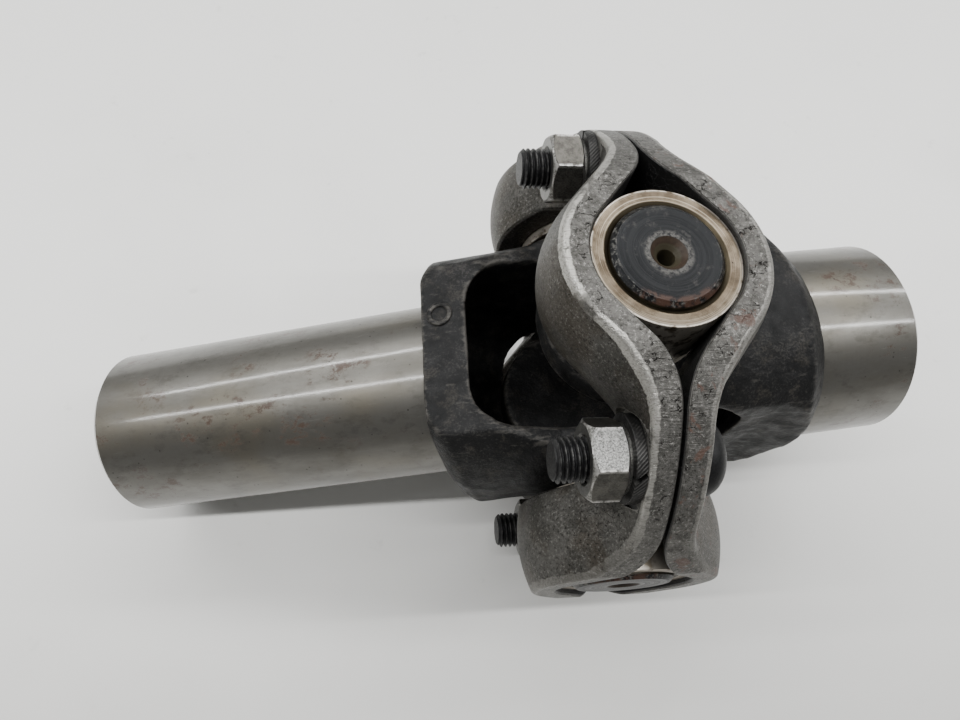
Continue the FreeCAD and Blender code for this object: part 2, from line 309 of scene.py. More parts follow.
def forged_black(name):
    """Black forging scale, scuffed to grey along its edges."""
    s = Surface(name)
    grain = s.noise(0.45, 6.0, 0.7)
    lumps = s.noise(2.6, 4.0, 0.6)
    blotch = s.noise(7.0, 5.0, 0.65)
    streaks = s.noise(1.4, 5.0, 0.7, stretch=(3.0, 1, 1))
    scuffs = s.step(s.plus(s.times(s.mark("edge"), 0.30), streaks), 0.60, 0.78)
    dust = s.step(s.plus(s.times(blotch, 0.5), grain), 0.80, 0.95)
    earthy = s.times(s.step(s.noise(5.0, 6.0, 0.7), 0.52, 0.62), s.step(grain, 0.35, 0.6))
    base = s.mix(s.step(blotch, 0.35, 0.65), (0.0020, 0.0022, 0.0024), (0.0070, 0.0070, 0.0072))
    base = s.mix(s.times(dust, 0.6), base, (0.045, 0.043, 0.040))
    base = s.mix(s.times(earthy, 0.6), base, (0.040, 0.036, 0.030))
    colour = s.mix(s.times(scuffs, 0.7), base, (0.095, 0.090, 0.082))
    height = s.plus(s.times(grain, 0.7), s.times(lumps, 2.0))
    return s.finish(Base_Color=colour, Metallic=s.step(scuffs, 0.0, 1.0, 0.0, 0.6),
                    Roughness=s.step(s.noise(3.0, 4.0, 0.6), 0.3, 0.7, 0.40, 0.62),
                    Specular_IOR_Level=0.22, Normal=s.bump(height, 0.16))


def ring_steel(name, shift, polish_and_highlight_strength, rust_from):
    """Blasted grey forging. Its trimmed rim is cracked across, its outer corner has a band worn
    smooth with a painted highlight that is brightest towards the top, and the inside of its pockets
    is painted near-black, as painted shade with dark scale. shift moves the pattern, burnish says
    how bright the corner's band is, and the rust starts where its noise passes rust_from."""
    s = Surface(name)
    s.place = s.vector("ADD", s.place, (shift, shift, 0.0))
    grain = s.noise(0.55, 6.0, 0.75)
    blotch = s.noise(6.0, 5.0, 0.65)
    brown = s.step(s.noise(11.0, 4.0, 0.6), 0.42, 0.62)
    pits = s.times(s.step(s.cells(0.75), 0.20, 0.10), s.step(s.noise(2.0), 0.46, 0.56))
    wall = s.mix(s.step(blotch, 0.35, 0.65), (0.046, 0.044, 0.039), (0.088, 0.085, 0.078))
    wall = s.mix(s.times(brown, 0.5), wall, (0.058, 0.046, 0.033))
    wall = s.mix(s.step(grain, 0.53, 0.68), wall, (0.19, 0.185, 0.17))
    wall = s.mix(s.step(grain, 0.46, 0.36), wall, (0.014, 0.013, 0.011))
    wall = s.mix(pits, wall, (0.010, 0.009, 0.008))

    across = s.noise(0.8, 4.0, 0.65, stretch=(3.0, 0.35, 0.35))
    mottle = s.noise(2.4, 6.0, 0.72)
    bent = s.vector("ADD", s.vector("DIVIDE", s.place, (3.4, 1.6, 1.6)),
                    s.vector("SCALE", s.colour_noise(1.1), Scale=0.9))
    crack = s.node("TexVoronoi", settings={"feature": "DISTANCE_TO_EDGE"}, Scale=1.0, Vector=bent)
    crack = s.times(s.step(crack, 0.035, 0.012), s.step(s.noise(4.0), 0.50, 0.58))
    rim = s.mix(s.step(mottle, 0.35, 0.62), (0.072, 0.070, 0.064), (0.135, 0.131, 0.122))
    rim = s.mix(s.step(grain, 0.54, 0.66, 0.0, 0.8), rim, (0.36, 0.35, 0.33))
    rim = s.mix(s.step(grain, 0.46, 0.34, 0.0, 0.9), rim, (0.022, 0.020, 0.018))
    rim = s.mix(s.step(across, 0.45, 0.30, 0.0, 0.35), rim, (0.05, 0.047, 0.042))
    rim = s.mix(crack, rim, (0.012, 0.010, 0.009))

    # Painted highlight along the outer corner, partly real polish, stronger towards +Z, the top.
    past = s.plus(s.mark("past_rim"), s.times(s.noise(1.6, 4.0, 0.7), 1.2))
    polish_and_highlight = s.times(s.step(past, 0.10, 0.35), s.step(past, 2.55, 2.35))
    polish_and_highlight = s.times(polish_and_highlight, s.step(s.noise(7.0, 4.0, 0.6), 0.36, 0.48, 0.15, polish_and_highlight_strength))
    polish_and_highlight = s.times(polish_and_highlight, s.step(across, 0.30, 0.55, 0.35, 1.0))
    polish_and_highlight = s.times(polish_and_highlight, s.step(s.axis(2), 22.0, 36.0, 0.25, 1.0))
    rust = s.step(s.noise(4.2, 6.0, 0.72, warp=0.5), rust_from, rust_from + 0.06)
    rust = s.times(rust, s.minus(1.0, s.mark("inside")))
    colour = s.mix(s.mark("rim"), wall, rim)
    # The corner band: painted highlight over real polish.
    colour = s.mix(polish_and_highlight, colour, (0.40, 0.39, 0.36))
    colour = s.mix(s.times(rust, 0.8), colour, (0.060, 0.024, 0.012))
    # Painted shade: the pockets' inner faces, marked "inside", are near-black, with dark scale.
    colour = s.mix(s.mark("inside"), colour, (0.006, 0.006, 0.006))
    height = s.minus(grain, s.plus(s.times(crack, 1.6), pits))
    height = s.plus(height, s.times(across, s.mark("rim")))
    dull = s.math("MAXIMUM", rust, s.mark("inside"))
    return s.finish(Base_Color=colour, Metallic=s.step(dull, 0.0, 1.0, 0.8, 0.0),
                    Roughness=s.step(polish_and_highlight, 0.0, 1.0, 0.48, 0.30), Normal=s.bump(height, 0.11))


def trunnion_steel(name):
    """Dark turned end with a worn chamfer, a rust crescent and a rusty centre hole."""
    s = Surface(name)
    radius = s.radius()
    rings = s.turning(radius, 2.6, 0.05, 4.0)
    wear = s.noise(0.7, 5.0, 0.72)
    dark = s.mix(s.step(rings, 0.40, 0.62), (0.0045, 0.0052, 0.0062), (0.016, 0.017, 0.018))
    dark = s.mix(s.step(s.noise(2.5, 6.0, 0.75), 0.54, 0.70, 0.0, 0.7), dark, (0.060, 0.058, 0.054))
    lip = s.times(s.step(radius, 8.8, 9.3), s.step(wear, 0.50, 0.66))
    lip = s.times(lip, s.step(s.axis(0), TRUNNION_END - 1.2, TRUNNION_END - 0.7))
    colour = s.mix(s.times(lip, 0.75), dark, (0.19, 0.185, 0.17))
    hole_rim = s.times(s.step(radius, 4.6, 3.9), s.step(wear, 0.38, 0.6))
    colour = s.mix(s.times(hole_rim, 0.6), colour, (0.13, 0.125, 0.115))
    low = s.times(s.step(s.axis(2), 5.6, 7.6), s.step(radius, 8.0, 8.7))
    crescent = s.times(low, s.step(s.noise(1.6, 5.0, 0.7), 0.40, 0.55))
    colour = s.mix(s.times(crescent, 0.85), colour, (0.052, 0.025, 0.016))
    hole = s.step(radius, 3.35, 3.15)
    rusty = s.mix(s.noise(0.9, 4.0, 0.7), (0.008, 0.006, 0.005), (0.060, 0.040, 0.026))
    colour = s.mix(hole, colour, rusty)
    side = s.step(s.axis(0), TRUNNION_END - 0.7, TRUNNION_END - 1.1)
    colour = s.mix(side, colour, (0.035, 0.030, 0.018))
    height = s.plus(s.times(rings, 1.4), s.times(wear, 0.5))
    dull = s.math("MAXIMUM", crescent, hole)
    return s.finish(Base_Color=colour, Metallic=s.step(dull, 0, 1, 0.5, 0),
                    Specular_IOR_Level=0.25, Roughness=s.step(rings, 0.3, 0.7, 0.34, 0.52),
                    Normal=s.bump(height, 0.05))


def bronze():
    """Oily bronze with fine turning lines, dark specks and a bright outer corner."""
    s = Surface("bronze")
    radius = s.radius()
    rings = s.turning(radius, 3.4, 0.04, 5.0)
    stain = s.noise(3.5, 5.0, 0.65)
    colour = s.mix(s.step(stain, 0.35, 0.65), (0.155, 0.124, 0.088), (0.078, 0.058, 0.038))
    colour = s.mix(s.step(rings, 0.50, 0.62, 0.0, 0.9), colour, (0.31, 0.27, 0.21))
    colour = s.mix(s.step(radius, 11.1, 10.8), colour, (0.040, 0.032, 0.019))
    bright = s.times(s.step(radius, 12.85, 13.1), s.step(s.noise(2.0, 4.0), 0.35, 0.5))
    colour = s.mix(bright, colour, (0.50, 0.46, 0.40))
    specks = s.step(s.noise(0.8, 3.0, 0.6, warp=0.5), 0.70, 0.74)
    colour = s.mix(specks, colour, (0.02, 0.015, 0.012))
    height = s.minus(rings, specks)
    return s.finish(Base_Color=colour, Metallic=0.85, Roughness=s.step(stain, 0.3, 0.7, 0.34, 0.5),
                    Normal=s.bump(height, 0.02))


def bolt_black():
    """Black oxide, worn grey on the crests of the thread."""
    s = Surface("bolt_black")
    grain = s.noise(0.35, 5.0, 0.7)
    worn = s.times(s.mark("crest"), s.step(s.noise(0.9, 4.0, 0.7), 0.40, 0.62))
    base = s.mix(s.step(grain, 0.4, 0.65), (0.0045, 0.0047, 0.005), (0.014, 0.014, 0.0145))
    colour = s.mix(s.times(worn, 0.7), base, (0.085, 0.084, 0.08))
    return s.finish(Base_Color=colour, Metallic=0.4, Specular_IOR_Level=0.35,
                    Roughness=s.step(grain, 0.3, 0.7, 0.40, 0.58), Normal=s.bump(grain, 0.03))


def nut_steel():
    """Plated steel, grainy and dirty; bright sides are painted light, dark ones painted shade."""
    s = Surface("nut_steel")
    grain = s.noise(0.30, 5.0, 0.7)
    fine = s.noise(1.8, 5.0, 0.65)
    grime_and_shade = s.mix(s.step(fine, 0.35, 0.65), (0.034, 0.032, 0.027), (0.085, 0.080, 0.070))
    clean_and_lit = s.mix(s.step(grain, 0.38, 0.62), (0.11, 0.11, 0.105), (0.38, 0.38, 0.365))
    clean_and_lit = s.mix(s.step(fine, 0.45, 0.30, 0.0, 0.5), clean_and_lit, (0.11, 0.11, 0.105))
    # Painted light and shade: the mark "bright" lights some sides and darkens others, with dirt.
    colour = s.mix(s.mark("bright"), grime_and_shade, clean_and_lit)
    edges = s.times(s.mark("corner"), s.step(s.noise(1.2, 4.0, 0.7), 0.38, 0.55))
    colour = s.mix(edges, colour, (0.50, 0.49, 0.47))
    specks = s.step(s.noise(0.7, 3.0), 0.68, 0.73)
    colour = s.mix(specks, colour, (0.03, 0.022, 0.016))
    return s.finish(Base_Color=colour, Metallic=0.9, Roughness=s.step(grain, 0.3, 0.7, 0.30, 0.46),
                    Normal=s.bump(s.minus(grain, specks), 0.03))


def washer_steel():
    """Dark spring steel with slanted tool marks round its rim."""
    s = Surface("washer_steel")
    grain = s.noise(0.4, 5.0, 0.7)
    phase = s.plus(s.times(s.mark("turn"), 1.15), s.times(s.axis(0), 2.4))
    lines = s.math("SINE", phase)
    hatch = s.times(s.step(lines, -0.2, 0.8), s.step(s.noise(3.0), 0.40, 0.55))
    base = s.mix(s.step(grain, 0.4, 0.65), (0.007, 0.007, 0.007), (0.022, 0.021, 0.020))
    colour = s.mix(s.times(hatch, 0.6), base, (0.090, 0.088, 0.083))
    height = s.plus(s.times(grain, 0.5), hatch)
    return s.finish(Base_Color=colour, Metallic=0.6, Roughness=s.step(grain, 0.3, 0.7, 0.38, 0.55),
                    Normal=s.bump(height, 0.05))


LONG_STEEL = turned_steel("long_shaft_steel")
SHORT_STEEL = turned_steel("short_shaft_steel")
FORGED = forged_black("forged_black")
RING_NUT_SIDE = ring_steel("ring_nut_side", shift=0.0, polish_and_highlight_strength=1.0, rust_from=0.72)
RING_HEAD_SIDE = ring_steel("ring_head_side", shift=37.0, polish_and_highlight_strength=0.5, rust_from=0.57)
TRUNNION = trunnion_steel("trunnion_steel")
BRONZE = bronze()
BLACK_BOLT = bolt_black()
NUT = nut_steel()
WASHER = washer_steel()


def set_mark(mesh, name, values):
    """Stores a number for each point, which a material reads with Surface.mark."""
    mesh.attributes.new(name, "FLOAT", "POINT").data.foreach_set("value", values)


# ---- yokes -------------------------------------------------------------------------------------

# A yoke's own axes: X along the shaft, Y through the trunnions.
FORGING_VOXEL, SMOOTHING_ROUNDS = 0.45, 20
SKIN_LUMP_SIZE, SKIN_LUMP_DEPTH = 7.0, 0.25
EDGE_SPREADS, EDGE_GAIN = 4, 9.0
REAR_CORNER_GAIN = 1.8
ARC_STEPS = 48


def arc(centre, radius, start, end, steps):
    """Points on an arc from angle start to angle end, in degrees."""
    return [(centre[0] + polar(radius, start + (end - start) * k / steps)[0],
             centre[1] + polar(radius, start + (end - start) * k / steps)[1])
            for k in range(steps + 1)]


def blank_profile(hub_end, shoulder):
    """Half the outline of a forging before its sides and fork are cut, to be turned about X."""
    along, across = shoulder
    meets = math.degrees(math.acos(math.sqrt(ARM_SPHERE_R**2 - YOKE_R**2) / ARM_SPHERE_R))
    sphere = arc((0, 0), ARM_SPHERE_R, 180, meets, ARC_STEPS)
    rear = [(hub_end - along, YOKE_R), (hub_end, YOKE_R - across), (hub_end, 0.0)]
    return [(-ARM_SPHERE_R, 0.0)] + sphere[1:] + rear


def side_view(hub_end, rear_half_width):
    """The outline of a forging seen along Y, as (x, z) points."""
    upper = [(ARM_WIDENS_AT, ARM_HALF_WIDTH), (YOKE_WIDE_AT, YOKE_HALF_WIDTH),
             (YOKE_SIDE_END, YOKE_HALF_WIDTH), (hub_end + 1, rear_half_width)]
    lower = [(x, -z) for x, z in reversed(upper)]
    return arc((0, 0), ARM_HALF_WIDTH, 270, 90, ARC_STEPS) + upper + lower


def prism_mesh(name, outline, low, high):
    """An outline of (x, z) points made solid from y = low to y = high."""
    loops = [[(x, y, z) for x, z in outline] for y in (low, high)]
    return make_mesh(name, *skin(loops, False))


def fork_mesh():
    """The space between a yoke's arms: a drum about Y whose corners are rounded in plan."""
    loops = []
    for angle in range(88, -89, -2):
        end, z = polar(FORK_DRUM_R, angle)
        reach = min(FORK_CORNER_R, end / 2)
        corner = arc((end - reach, FORK_HALF_GAP - reach), reach, 90, 0, 10)
        half = [(-end, FORK_HALF_GAP)] + corner
        loops.append([(x, y, z) for x, y in half] + [(x, -y, z) for x, y in reversed(half)])
    return make_mesh("fork", *skin(loops, False))


def scratch_object(mesh):
    """An object that only lasts while its mesh is being shaped."""
    thing = bpy.data.objects.new(mesh.name, mesh)
    bpy.context.scene.collection.objects.link(thing)
    return thing


def shaped(base, steps, **remesh):
    """The mesh of base after booleans with other meshes, given as (operation, mesh) steps, and with
    voxel and rounds given, remade from voxels and smoothed."""
    thing = scratch_object(base)
    tools = []
    for operation, mesh in steps:
        tool = scratch_object(mesh)
        tools.append(tool)
        cut = thing.modifiers.new("cut", "BOOLEAN")
        cut.operation = operation
        cut.object = tool
        cut.solver = "EXACT"
    if remesh:
        voxels = thing.modifiers.new("voxels", "REMESH")
        voxels.mode = "VOXEL"
        voxels.voxel_size = remesh["voxel"] * MM
        soft = thing.modifiers.new("soft", "SMOOTH")
        soft.factor = 0.5
        soft.iterations = remesh["rounds"]
    graph = bpy.context.evaluated_depsgraph_get()
    result = bpy.data.meshes.new_from_object(thing.evaluated_get(graph))
    for scratch in [thing] + tools:
        bpy.data.objects.remove(scratch)
    return result


def mark_edges(mesh):
    """Stores how far each point stands out from its neighbours, from 0 to 1, as the mark "edge"."""
    count = len(mesh.vertices)
    lift = [0.0] * count
    links = [0] * count
    for edge in mesh.edges:
        a, b = (mesh.vertices[i] for i in edge.vertices)
        along = (a.co - b.co).normalized()
        lift[a.index] += along.dot(a.normal)
        lift[b.index] -= along.dot(b.normal)
        links[a.index] += 1
        links[b.index] += 1
    lift = [value / max(n, 1) for value, n in zip(lift, links)]
    for _ in range(EDGE_SPREADS):
        spread = list(lift)
        for edge in mesh.edges:
            a, b = edge.vertices
            spread[a] += lift[b]
            spread[b] += lift[a]
        lift = [value / (n + 1) for value, n in zip(spread, links)]
    set_mark(mesh, "edge", [min(max(value * EDGE_GAIN, 0.0), 1.0) for value in lift])


def roughen(mesh, size, depth):
    """Moves each point along its normal by gentle noise, as on a forging."""
    normals = [vertex.normal.copy() for vertex in mesh.vertices]
    for vertex, normal in zip(mesh.vertices, normals):
        vertex.co += normal * noise.noise(vertex.co / (size * MM)) * depth * MM


def eased(value, low, high):
    """0 below low, 1 above high, with a smooth rise between."""
    share = min(max((value - low) / (high - low), 0.0), 1.0)
    return share**2 * (3 - 2 * share)


def squeeze(mesh, slim, hub_end):
    """Draws in the side of the hub on +Y, behind the arms, by the share slim, and its rear corner
    further still."""
    for vertex in mesh.vertices:
        x, y, z = vertex.co / MM
        if y > 0:
            rear = REAR_CORNER_GAIN * eased(x, hub_end - 5, hub_end + 1)
            vertex.co.y *= 1 - slim * (eased(x, 4, 20) + rear)


def forging(name, slim, hub_end, shoulder, rear_half_width):
    """A yoke's arms and hub, with softened edges and an uneven skin."""
    blank = turned_mesh(name, blank_profile(hub_end, shoulder))
    sides = prism_mesh("sides", side_view(hub_end, rear_half_width), -ARM_FACE, ARM_FACE)
    steps = [("INTERSECT", sides), ("DIFFERENCE", fork_mesh())]
    mesh = shaped(blank, steps, voxel=FORGING_VOXEL, rounds=SMOOTHING_ROUNDS)
    squeeze(mesh, slim, hub_end)
    roughen(mesh, SKIN_LUMP_SIZE, SKIN_LUMP_DEPTH)
    mark_edges(mesh)
    mesh.shade_smooth()
    return mesh


def raised_ring_mesh():
    """The small raised ring on the side of the long-shaft yoke's hub: a bent bar, flattened."""
    flatness, lift, wear = 0.6, 0.05, 0.6
    loops = []
    for k in range(48):
        u, v = polar(1.0, 7.5 * k)
        loop = []
        for step in range(12):
            out, up = polar(RAISED_RING_BAR_R, 30 * step)
            reach = RAISED_RING_R + out
            loop.append((RAISED_RING_AT[0] + u * reach, RAISED_RING_AT[1] + v * reach,
                         YOKE_HALF_WIDTH + lift + flatness * up))
        loops.append(loop)
    mesh = make_mesh("raised_ring", *skin(loops, True), 60.0)
    set_mark(mesh, "edge", [wear] * len(mesh.vertices))
    return mesh


def shaft_profile(radius, start, end):
    corners = [(start, 0.0), (start, radius), (end - SHAFT_CHAMFER, radius),
               (end, radius - SHAFT_CHAMFER), (end, 0.0)]
    return rounded(corners, 0.3)


def trunnion_profile():
    countersink = CENTRE_HOLE_R - CENTRE_DRILL_R
    start = ARM_FACE - TRUNNION_OVERLAP
    corners = [(start, 0.0), (start, TRUNNION_R),
               (TRUNNION_END - TRUNNION_CHAMFER, TRUNNION_R),
               (TRUNNION_END, TRUNNION_R - TRUNNION_CHAMFER), (TRUNNION_END, CENTRE_HOLE_R),
               (TRUNNION_END - countersink, CENTRE_DRILL_R),
               (TRUNNION_END - CENTRE_HOLE_DEPTH, CENTRE_DRILL_R),
               (TRUNNION_END - CENTRE_HOLE_DEPTH - CENTRE_DRILL_R, 0.0)]
    return rounded(corners, 0.2)


def add_yoke(side, pose, hub, shaft, steel):
    """Adds a yoke's forging, its shaft and its two trunnions, given the arguments of forging and
    shaft_profile."""
    body, node, slot = side + "_yoke", side + "_shaft_yoke", side + "_yoke_steel"
    mesh = forging(side + "_forging", *hub)
    make_piece(side + "_forging", mesh, pose, body, node, FORGED)
    mesh = turned_mesh(side + "_shaft", shaft_profile(*shaft), 192)
    make_piece(side + "_shaft", mesh, pose, body, node, steel)
    for end, turn in (("a", 90), ("b", -90)):
        name = side + "_trunnion_" + end
        mesh = turned_mesh(name, trunnion_profile())
        make_piece(name, mesh, pose @ spin("Z", turn), body, node, TRUNNION)


add_yoke("long", LONG_POSE, (0.07, LONG_HUB_END, LONG_SHOULDER, LONG_REAR_HALF_WIDTH),
         (LONG_SHAFT_R, LONG_HUB_END - SHAFT_OVERLAP, LONG_SHAFT_END), LONG_STEEL)
make_piece("long_raised_ring", raised_ring_mesh(), LONG_POSE, "long_yoke", "long_shaft_yoke",
           FORGED)
add_yoke("short", SHORT_POSE, (0.0, SHORT_HUB_END, SHORT_SHOULDER, SHORT_REAR_HALF_WIDTH),
         (SHORT_SHAFT_R, SHORT_HUB_END - SHAFT_OVERLAP, SHORT_SHAFT_END), SHORT_STEEL)


# ---- bushes ------------------------------------------------------------------------------------

def add_bushes():
    """Adds the four bushes. Their outline starts and ends on the inner end face, near the bore."""
    seam_r = BUSH_BORE_R + 0.3
    corners = [(BUSH_START, seam_r), (BUSH_START, BUSH_R), (BUSH_END, BUSH_R),
               (BUSH_END, BUSH_BORE_R + BUSH_MOUTH_WIDTH),
               (BUSH_END - BUSH_MOUTH_DEPTH, BUSH_BORE_R), (BUSH_START, BUSH_BORE_R)]
    profile = rounded(corners + corners[:1], 0.25)
    turns = {"y_plus": spin("Z", 90), "y_minus": spin("Z", -90),
             "z_plus": spin("Y", -90), "z_minus": spin("Y", 90)}
    for side, turn in turns.items():
        node = "bush_" + side
        mesh = turned_mesh(node, profile)
        make_piece("bronze_" + node, mesh, RING_POSE @ turn, "ring", node, BRONZE)


add_bushes()


# ---- ring halves -------------------------------------------------------------------------------

RING_STEPS, FACE_STEPS, EDGE_STEPS, CORNER_STEPS = 540, 14, 6, 4
RING_CRISP = 35.0
FAR_FROM_RIM = 9.0           # the mark "past_rim" on everything but the rim and the outer face
CORNER_DETOUR = 0.4          # what the rounded corner adds to the way from the rim


def pocket_depth(across, radius, level, bend_r):
    """Depth of one face of a ring half: an arc round the bush, a flank and a bend onto the land."""
    slope = math.radians(FLANK_SLOPE)
    deep = level + bend_r
    land_at = (radius + bend_r - deep * math.cos(slope)) / math.sin(slope)
    across = abs(across)
    if across < radius * math.sin(slope):
        return math.sqrt(radius**2 - across**2)
    if across > land_at:
        return level
    if across > land_at - bend_r * math.sin(slope):
        return deep - math.sqrt(bend_r**2 - (land_at - across)**2)
    return radius * math.cos(slope) - (across - radius * math.sin(slope)) * math.tan(slope)


def barrel(out):
    """Outside radius of a pocket's wall at a distance out from the joint's centre."""
    curve = BARREL_OUTER_CURVE * (1.0 if out > BARREL_AT else BARREL_INNER_GAIN)
    return BARREL_R - curve * (out - BARREL_AT)**2


def ring_section(turn):
    """The points of a ring half's section at an angle about X, with their marks. It runs out along
    the inner face, over the rim, round its soft corner and back along the outer face."""
    local = math.radians((turn + 45.0) % 90.0 - 45.0)
    low = min(RING_BORE_R, POCKET_START / math.cos(local))
    high = min(RING_R, POCKET_END / math.cos(local))
    points, marks = [], []

    def depth(radius, outer):
        across, out = radius * math.sin(local), radius * math.cos(local)
        if outer:
            return pocket_depth(across, barrel(out), LAND, OUTER_BEND_R)
        return pocket_depth(across, BUSH_R, HALF_GAP, INNER_BEND_R)

    def add(radius, deep, rim=0.0, past_rim=FAR_FROM_RIM, inside=0.0):
        y, z = polar(radius, turn)
        points.append((-deep, y, z))
        marks.append((rim, past_rim, inside))

    edge, soft = RING_EDGE, RING_CORNER_R
    # The inner face carries the mark "inside", which the material paints near-black as painted
    # shade.
    for k in range(FACE_STEPS + 1):
        radius = low + edge + (high - low - 2 * edge) * k / FACE_STEPS
        add(radius, depth(radius, False), inside=1.0)
    bottom, top = depth(high, False) + edge, depth(high, True) - soft
    for k in range(EDGE_STEPS + 1):
        deep = bottom + (top - bottom) * k / EDGE_STEPS
        add(high, deep, rim=1.0, past_rim=deep - top)
    for k in range(1, CORNER_STEPS):
        angle = math.radians(90 * k / CORNER_STEPS)
        radius = high - soft + soft * math.cos(angle)
        add(radius, depth(radius, True) - soft + soft * math.sin(angle),
            rim=1.0 - k / CORNER_STEPS, past_rim=soft * math.radians(90) * k / CORNER_STEPS)
    for k in range(FACE_STEPS + 1):
        radius = high - soft - (high - low - soft - edge) * k / FACE_STEPS
        add(radius, depth(radius, True), past_rim=high - radius + CORNER_DETOUR)
    top, bottom = depth(low, True) - edge, depth(low, False) + edge
    for k in range(EDGE_STEPS + 1):
        add(low, top + (bottom - top) * k / EDGE_STEPS)
    return points, marks


def ring_mesh(name, side):
    """A ring half without its bolt holes, on the side of +X or of -X."""
    sections = [ring_section(360 * k / RING_STEPS) for k in range(RING_STEPS)]
    points, faces = skin([section for section, marks in sections], True)
    if side > 0:
        points = [(-x, y, z) for x, y, z in points]
        faces = [tuple(reversed(face)) for face in faces]
    mesh = make_mesh(name, points, faces, RING_CRISP)
    marks = [mark for section, marks in sections for mark in marks]
    for index, mark in enumerate(("rim", "past_rim", "inside")):
        set_mark(mesh, mark, [values[index] for values in marks])
    return mesh


def add_ring_half(name, node, side, material):
    """Adds a ring half with its bolt holes and the spot faces round them."""
    cuts = []
    facing = spin("Z", 180 if side < 0 else 0)
    for turn in BOLT_TURNS:
        y, z = polar(BOLT_CIRCLE_R, turn)
        for radius, start, end in ((BOLT_HOLE_R, -2, 12), (SEAT_R, LAND, 20)):
            tool = turned_mesh("tool", [(start, 0), (start, radius), (end, radius), (end, 0)], 96)
            tool.transform(Matrix.Translation((0, y * MM, z * MM)) @ facing)
            cuts.append(("DIFFERENCE", tool))
    mesh = shaped(ring_mesh(name, side), cuts)
    mesh.set_sharp_from_angle(angle=math.radians(RING_CRISP))
    make_piece(name, mesh, RING_POSE, "ring", node, material)


add_ring_half("ring_nut_side", "ring_half_nut_side", -1, RING_NUT_SIDE)
add_ring_half("ring_head_side", "ring_half_head_side", 1, RING_HEAD_SIDE)


# ---- fasteners ---------------------------------------------------------------------------------

def bolt_mesh(name):
    """A bolt whose thread runs as a true helix from its tip to inside the nut."""
    around, per_turn = 64, 14
    root = BOLT_R - THREAD_DEPTH
    loops, crests = [], []
    stations = int(THREAD_LENGTH / THREAD_PITCH * per_turn)
    for i in range(stations + 1):
        x = -BOLT_TIP + i * THREAD_PITCH / per_turn
        limit = BOLT_R - TIP_CHAMFER + (x + BOLT_TIP)
        loop = []
        for k in range(around):
            phase = (x / THREAD_PITCH - k / around) % 1.0
            rise = min(max(abs(phase * 2 - 1) * 1.5 - 0.25, 0.0), 1.0)
            radius = min(root + THREAD_DEPTH * rise, limit)
            loop.append((x, *polar(radius, 360 * k / around)))
            crests.append(max(rise * 2 - 1, 0.0) if radius < limit else 0.3)
        loops.append(loop)
    end = -BOLT_TIP + stations * THREAD_PITCH / per_turn
    dome = [(LAND + HEAD_RIM + (HEAD_HEIGHT - HEAD_RIM) * math.sin(math.radians(a)),
             HEAD_TOP_R + (HEAD_R - HEAD_TOP_R) * math.cos(math.radians(a)))
            for a in range(8, 91, 8)]
    top = [(LAND + HEAD_HEIGHT, 1.2)]
    profile = [(end + THREAD_RUNOUT, root), (LAND, root), (LAND, HEAD_R - HEAD_EDGE),
               (LAND + HEAD_EDGE, HEAD_R), (LAND + HEAD_RIM, HEAD_R)] + dome + top
    for along, radius in profile:
        loops.append([(along, *polar(radius, 360 * k / around)) for k in range(around)])
        crests += [0.0] * around
    mesh = make_mesh(name, *skin(loops, False), 40.0)
    set_mark(mesh, "crest", crests)
    return mesh


# Each nut side's painted light, from 0 for dark to 1 for bright, mixed with dirt.
NUT_SHADES = {
    1: (0.10, 0.05, 0.20, 0.15, 0.10, 0.10),
    2: (0.12, 1.00, 0.10, 0.20, 0.30, 0.15),
    3: (0.30, 0.50, 0.20, 0.60, 0.25, 0.40),
    4: (0.45, 0.20, 0.70, 0.30, 0.35, 0.50),
}
NUT_END_SHADE = 0.45


def nut_mesh(name, number):
    """A hexagon nut; the mark "bright" holds each side's painted light, mixed with dirt."""
    start = -LAND - WASHER_THICKNESS
    end = start - NUT_HEIGHT
    shades = NUT_SHADES[number]
    loops, bright, corner = [], [], []
    per_side, soft = 14, NUT_EDGE
    side_points = range(3, 7)
    for k in range(6 * per_side):
        turn = 60 * k / per_side
        off = math.radians((turn % 60) - 30)
        radius = NUT_ACROSS_FLATS / 2 / math.cos(off)
        drop = (radius - NUT_FACE_R) * math.tan(math.radians(NUT_CHAMFER_SLOPE))
        neck = start - NUT_FACE_HEIGHT
        section = [(start, NUT_BORE_R), (start, NUT_FACE_R), (neck, NUT_FACE_R),
                   (neck - drop, radius - soft), (neck - drop - soft, radius),
                   (end + drop + soft, radius), (end + drop, radius - soft), (end, NUT_FACE_R),
                   (end, NUT_BORE_R + NUT_BORE_CHAMFER), (end + NUT_BORE_CHAMFER, NUT_BORE_R)]
        loops.append([(x, *polar(r, turn + NUT_CORNER_AT)) for x, r in section])
        near_corner = 1.0 if abs(off) > math.radians(28) else 0.0
        bright += [shades[int(turn // 60)] if i in side_points else NUT_END_SHADE
                   for i in range(len(section))]
        corner += [max(near_corner, 1.0 if i in (3, 6) else 0.0) if i in side_points else 0.0
                   for i in range(len(section))]
    mesh = make_mesh(name, *skin(loops, True), 20.0)
    set_mark(mesh, "bright", bright)
    set_mark(mesh, "corner", corner)
    return mesh


def washer_mesh(name, split_at):
    """A spring washer: one turn of a square bar whose ends are cut at a slant and stand apart."""
    start, end = -LAND - WASHER_THICKNESS, -LAND
    section = [(end, WASHER_BORE_R), (end, WASHER_R), (start, WASHER_R), (start, WASHER_BORE_R)]
    section = rounded(section + section[:1], WASHER_EDGE)[1:]
    sweep = 360 - 2 * WASHER_HALF_SPLIT
    loops, turns = [], []
    steps = 120
    for k in range(steps + 1):
        share = k / steps
        loop = []
        for x, radius in section:
            slant = math.degrees((x - (start + end) / 2) * WASHER_END_LEAN / WASHER_R)
            turn = split_at + WASHER_HALF_SPLIT + share * sweep - slant
            loop.append((x, *polar(radius, turn)))
            turns.append(share * sweep)
        loops.append(loop)
    mesh = make_mesh(name, *skin(loops, False), 40.0)
    set_mark(mesh, "turn", turns)
    return mesh


